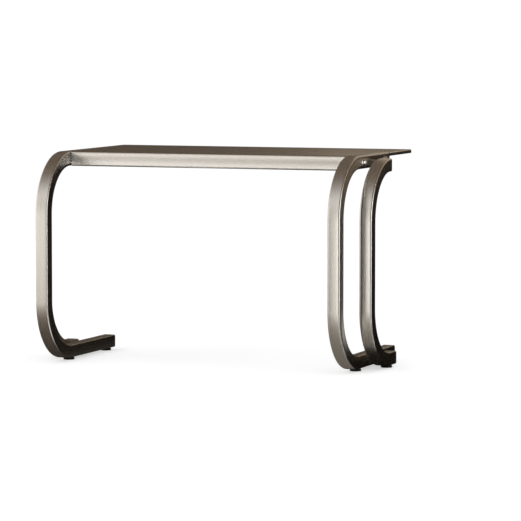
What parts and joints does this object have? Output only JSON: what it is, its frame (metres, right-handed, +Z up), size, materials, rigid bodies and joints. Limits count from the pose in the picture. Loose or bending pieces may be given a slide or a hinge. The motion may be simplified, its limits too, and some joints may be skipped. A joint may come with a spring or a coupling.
{
  "type": "microwave rack",
  "caption": "Free-standing stainless kitchen rack: a flat shelf with a front fascia between side frames of paired bent square tubes, with an open oven bay below and screw-in levelling feet.",
  "frame": {"origin": "on the counter, in the middle of the rack's footprint", "axes": "+X to the right seen from the front, +Y back, +Z up"},
  "size_m": [0.692, 0.438, 0.41],
  "materials": {
    "brushed_stainless": "brushed stainless steel, fine lengthwise grain",
    "mill_stainless": "stainless sheet as rolled, unbrushed",
    "polished_steel": "polished stainless screw head",
    "plated_steel": "zinc-plated steel",
    "cap_plastic": "black moulded polyethylene",
    "pad_rubber": "black moulded rubber"
  },
  "bodies": {
    "rack": {"shelf_tray": "brushed_stainless", "front_crossbar": "mill_stainless", "rear_crossbar": "mill_stainless", "shelf_rib_left": "mill_stainless", "shelf_rib_centre": "mill_stainless", "shelf_rib_right": "mill_stainless", "front_tube_left": "brushed_stainless", "front_tube_right": "brushed_stainless", "rear_tube_left": "brushed_stainless", "rear_tube_right": "brushed_stainless", "frame_spacers": "mill_stainless", "front_top_cap_left": "cap_plastic", "front_top_cap_right": "cap_plastic", "front_bottom_cap_left": "cap_plastic", "front_bottom_cap_right": "cap_plastic", "rear_top_cap_left": "cap_plastic", "rear_top_cap_right": "cap_plastic", "rear_bottom_cap_left": "cap_plastic", "rear_bottom_cap_right": "cap_plastic", "side_screws": "polished_steel", "weld_nuts": "plated_steel", "foot_inserts": "plated_steel"},
    "front_left_foot": {"front_left_foot_stud": "plated_steel", "front_left_foot_pad": "pad_rubber"},
    "front_right_foot": {"front_right_foot_stud": "plated_steel", "front_right_foot_pad": "pad_rubber"},
    "middle_left_foot": {"middle_left_foot_stud": "plated_steel", "middle_left_foot_pad": "pad_rubber"},
    "middle_right_foot": {"middle_right_foot_stud": "plated_steel", "middle_right_foot_pad": "pad_rubber"},
    "rear_left_foot": {"rear_left_foot_stud": "plated_steel", "rear_left_foot_pad": "pad_rubber"},
    "rear_right_foot": {"rear_right_foot_stud": "plated_steel", "rear_right_foot_pad": "pad_rubber"}
  },
  "joints": [
    {"name": "front_left_foot_travel", "type": "slide", "parent": "rack", "child": "front_left_foot", "axis": [0, 0, -1], "range_m": [0, 0.008]},
    {"name": "front_right_foot_travel", "type": "slide", "parent": "rack", "child": "front_right_foot", "axis": [0, 0, -1], "range_m": [0, 0.008]},
    {"name": "middle_left_foot_travel", "type": "slide", "parent": "rack", "child": "middle_left_foot", "axis": [0, 0, -1], "range_m": [0, 0.008]},
    {"name": "middle_right_foot_travel", "type": "slide", "parent": "rack", "child": "middle_right_foot", "axis": [0, 0, -1], "range_m": [0, 0.008]},
    {"name": "rear_left_foot_travel", "type": "slide", "parent": "rack", "child": "rear_left_foot", "axis": [0, 0, -1], "range_m": [0, 0.008]},
    {"name": "rear_right_foot_travel", "type": "slide", "parent": "rack", "child": "rear_right_foot", "axis": [0, 0, -1], "range_m": [0, 0.008]}
  ]
}
